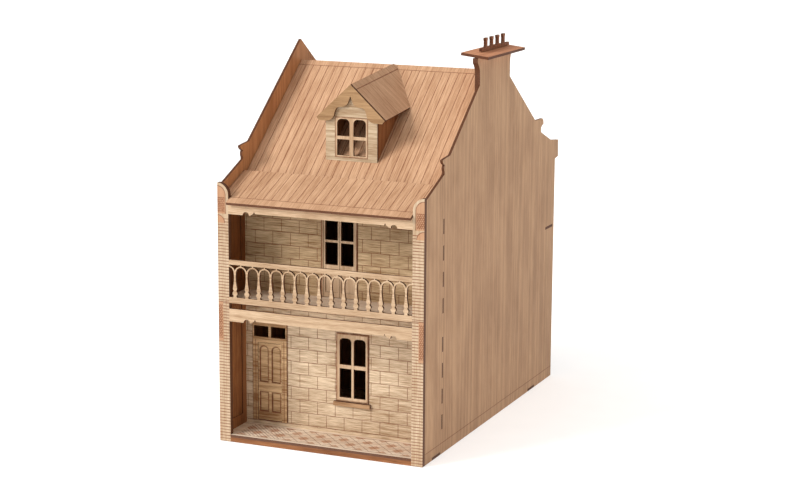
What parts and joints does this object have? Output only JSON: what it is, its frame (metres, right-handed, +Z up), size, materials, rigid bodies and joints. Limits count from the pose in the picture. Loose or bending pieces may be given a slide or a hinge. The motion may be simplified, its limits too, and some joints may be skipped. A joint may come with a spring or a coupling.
{
  "type": "wooden dollhouse",
  "caption": "Two-storey terraced dollhouse of laser-cut plywood with verandah, balcony, dormer, chimney and hinged doors; open back.",
  "frame": {"origin": "centre of the flat underside of the base plate, where the house rests", "axes": "+Z up, -Y out of the front with the verandah, +X to the wall with the chimney, which is on the right when the house is seen from the front"},
  "size_m": [0.2521, 0.4276, 0.4348],
  "materials": {
    "plywood": "matte",
    "pillar_plywood": "matte",
    "pale_plywood": "matte",
    "roof_plywood": "matte",
    "trim_plywood": "matte",
    "door_plywood": "matte",
    "burnt_plywood": "matte"
  },
  "bodies": {
    "house": {"left_wall": "plywood", "right_wall": "plywood", "base_plate": "plywood", "plinth_front": "plywood", "plinth_rear": "plywood", "ground_floor": "plywood", "balcony_floor": "plywood", "first_floor": "plywood", "attic_floor": "plywood", "rear_tie_board": "plywood", "ground_cross_wall": "plywood", "upper_cross_wall": "plywood", "left_pillar_face": "pillar_plywood", "right_pillar_face": "pillar_plywood", "left_pillar_core": "pillar_plywood", "right_pillar_core": "pillar_plywood", "left_verandah_side_lower": "trim_plywood", "right_verandah_side_lower": "trim_plywood", "left_verandah_side_upper": "trim_plywood", "right_verandah_side_upper": "trim_plywood", "ground_front_wall": "pale_plywood", "upper_front_wall": "pale_plywood", "door_architrave": "trim_plywood", "door_transom": "trim_plywood", "ground_window_frame": "trim_plywood", "ground_window_sill": "burnt_plywood", "french_door_architrave": "trim_plywood", "balustrade": "trim_plywood", "lower_valance": "trim_plywood", "upper_valance": "trim_plywood", "main_roof_front": "roof_plywood", "main_roof_rear": "roof_plywood", "verandah_roof": "roof_plywood", "rear_lower_roof": "roof_plywood", "dormer_front": "pale_plywood", "dormer_window_frame": "trim_plywood", "dormer_bargeboard": "trim_plywood", "dormer_cheek_left": "pale_plywood", "dormer_cheek_right": "pale_plywood", "dormer_roof_left": "roof_plywood", "dormer_roof_right": "roof_plywood", "chimney_stack_liner": "plywood", "chimney_cap": "roof_plywood", "chimney_pots": "burnt_plywood"},
    "front_door": {"front_door": "door_plywood"},
    "left_french_door": {"left_french_door": "door_plywood"},
    "right_french_door": {"right_french_door": "door_plywood"}
  },
  "joints": [
    {"name": "front_door_hinge", "type": "hinge", "parent": "house", "child": "front_door", "pos_m": [-0.0987, -0.1505, 0.057], "axis": [0, 0, 1], "range_deg": [0, 90]},
    {"name": "left_french_door_hinge", "type": "hinge", "parent": "house", "child": "left_french_door", "pos_m": [-0.0184, -0.1505, 0.206], "axis": [0, 0, 1], "range_deg": [0, 90]},
    {"name": "right_french_door_hinge", "type": "hinge", "parent": "house", "child": "right_french_door", "pos_m": [0.0184, -0.1505, 0.206], "axis": [0, 0, 1], "range_deg": [-90, 0]}
  ]
}
